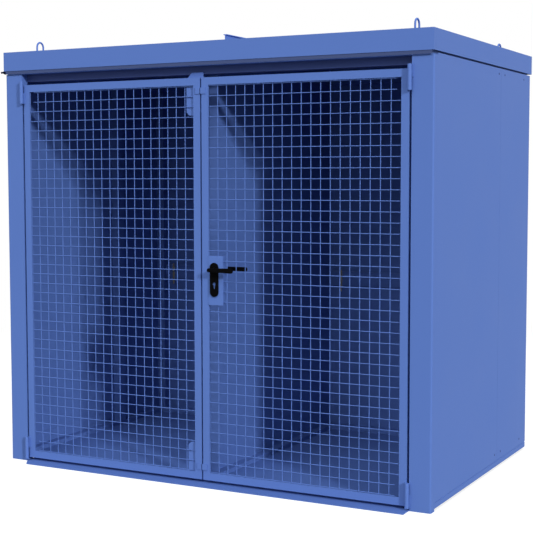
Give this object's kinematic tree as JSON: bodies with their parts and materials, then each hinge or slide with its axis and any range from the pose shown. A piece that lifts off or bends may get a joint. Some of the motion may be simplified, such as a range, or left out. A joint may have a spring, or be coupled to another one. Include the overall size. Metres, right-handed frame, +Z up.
{
  "type": "gas cylinder container",
  "caption": "Sheet steel gas cylinder container with a flat roof, a partition and hinged mesh doors with a lever lock.",
  "frame": {"origin": "centre of the footprint at ground level, under the middle of the overall box", "axes": "+Z up, doors face -Y, +X to the right when facing the doors"},
  "size_m": [2.4, 1.612, 2.2389],
  "materials": {
    "blue_steel": "powder coated, satin",
    "blue_mesh": "powder coated welded wire mesh, satin",
    "black_fittings": "black moulded handle set, satin",
    "zinc_chain": "yellow zinc plated chain"
  },
  "bodies": {
    "root": {"base_frame": "blue_steel", "base_pads": "blue_steel", "foot_plates": "blue_steel", "floor_sheets": "blue_steel", "door_sill": "blue_steel", "front_post_left": "blue_steel", "front_post_right": "blue_steel", "rear_posts": "blue_steel", "seam_posts": "blue_steel", "lintel": "blue_steel", "roof_frame": "blue_steel", "roof_tray": "blue_steel", "roof_rib": "blue_steel", "lifting_eyes": "blue_steel", "rear_gutter": "blue_steel", "side_panel_front_left": "blue_steel", "side_panel_rear_left": "blue_steel", "side_panel_front_right": "blue_steel", "side_panel_rear_right": "blue_steel", "back_panel_left": "blue_steel", "back_panel_right": "blue_steel", "partition": "blue_steel", "retaining_rails": "blue_steel", "chain_left": "zinc_chain", "chain_right": "zinc_chain", "left_post_hinges": "blue_steel", "right_post_hinges": "blue_steel"},
    "left_leaf": {"left_leaf_frame": "blue_steel", "left_mesh_lower": "blue_mesh", "left_mesh_middle": "blue_mesh", "left_mesh_upper": "blue_mesh", "left_leaf_hinges": "blue_steel", "left_leaf_tabs": "blue_steel", "left_bolt_boxes": "blue_steel", "left_stop_plate": "blue_steel"},
    "right_leaf": {"right_leaf_frame": "blue_steel", "right_mesh_lower": "blue_mesh", "right_mesh_middle": "blue_mesh", "right_mesh_upper": "blue_mesh", "right_leaf_hinges": "blue_steel", "right_leaf_tabs": "blue_steel", "lock_case": "blue_steel", "outer_escutcheon": "black_fittings", "inner_escutcheon": "black_fittings"},
    "lever": {"lever_spindle": "black_fittings", "outer_lever": "black_fittings", "inner_lever": "black_fittings"}
  },
  "joints": [
    {"name": "left_door", "type": "hinge", "parent": "root", "child": "left_leaf", "pos_m": [-1.086, -0.747, 1], "axis": [0, 0, -1], "range_deg": [0, 170]},
    {"name": "right_door", "type": "hinge", "parent": "root", "child": "right_leaf", "pos_m": [1.086, -0.747, 1], "axis": [0, 0, 1], "range_deg": [0, 170]},
    {"name": "door_lever", "type": "hinge", "parent": "right_leaf", "child": "lever", "pos_m": [0.0755, -0.734, 1.069], "axis": [0, 1, 0], "range_deg": [0, 40], "stiffness_Nm_per_rad": 1.5, "springref_deg": -28.65}
  ]
}
